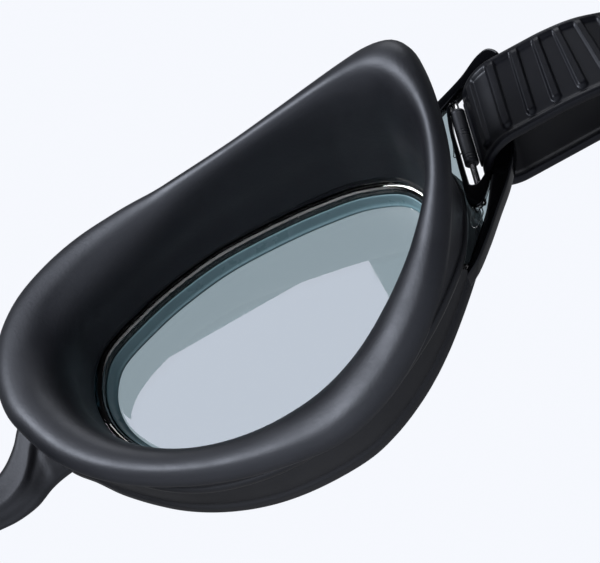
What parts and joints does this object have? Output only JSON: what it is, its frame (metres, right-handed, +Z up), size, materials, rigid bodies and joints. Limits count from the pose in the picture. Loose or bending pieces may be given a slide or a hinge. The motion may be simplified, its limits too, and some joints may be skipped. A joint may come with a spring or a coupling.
{
  "type": "swim goggles",
  "caption": "Swim goggles with soft eye seals, smoke lenses with temple panels, a nose bridge and a ribbed silicone strap folded round a bar and a roller at each side.",
  "frame": {"origin": "midway between the eyes, on the plane of the wearer's face that the seals wrap round", "axes": "+Z up as worn, -Y the way the wearer looks, +X to the wearer's left"},
  "size_m": [0.26, 0.128, 0.0502],
  "materials": {
    "seal_silicone": "matte",
    "frame_soft": "matte",
    "bridge_soft": "matte",
    "carrier_plastic": "satin",
    "lens_smoke": "gloss",
    "loop_gloss": "gloss",
    "pin_steel": "polished",
    "roller_matte": "matte",
    "strap_silicone": "satin",
    "keeper_silicone": "satin"
  },
  "bodies": {
    "goggles": {"left_lens": "lens_smoke", "right_lens": "lens_smoke", "left_frame": "frame_soft", "right_frame": "frame_soft", "left_seal_carrier": "carrier_plastic", "right_seal_carrier": "carrier_plastic", "left_seal": "seal_silicone", "right_seal": "seal_silicone", "left_temple_loop": "loop_gloss", "right_temple_loop": "loop_gloss", "left_pin": "pin_steel", "right_pin": "pin_steel", "nose_bridge": "bridge_soft", "strap_back": "strap_silicone"},
    "left_roller": {"left_roller": "roller_matte"},
    "left_strap": {"left_strap_end": "strap_silicone", "left_keeper": "keeper_silicone"},
    "right_roller": {"right_roller": "roller_matte"},
    "right_strap": {"right_strap_end": "strap_silicone", "right_keeper": "keeper_silicone"}
  },
  "joints": [
    {"name": "left_roller_spin", "type": "hinge", "parent": "goggles", "child": "left_roller", "pos_m": [0.079, -0.0142, 0.012], "axis": [0.225, 0, 0.9744], "continuous": true},
    {"name": "left_strap_swing", "type": "hinge", "parent": "goggles", "child": "left_strap", "pos_m": [0.0858, -0.0142, 0.012], "axis": [0.225, 0, 0.9744], "range_deg": [-12, 20], "stiffness_Nm_per_rad": 0.004},
    {"name": "right_roller_spin", "type": "hinge", "parent": "goggles", "child": "right_roller", "pos_m": [-0.079, -0.0142, 0.012], "axis": [-0.225, 0, 0.9744], "continuous": true},
    {"name": "right_strap_swing", "type": "hinge", "parent": "goggles", "child": "right_strap", "pos_m": [-0.0858, -0.0142, 0.012], "axis": [0.225, 0, -0.9744], "range_deg": [-12, 20], "stiffness_Nm_per_rad": 0.004}
  ]
}
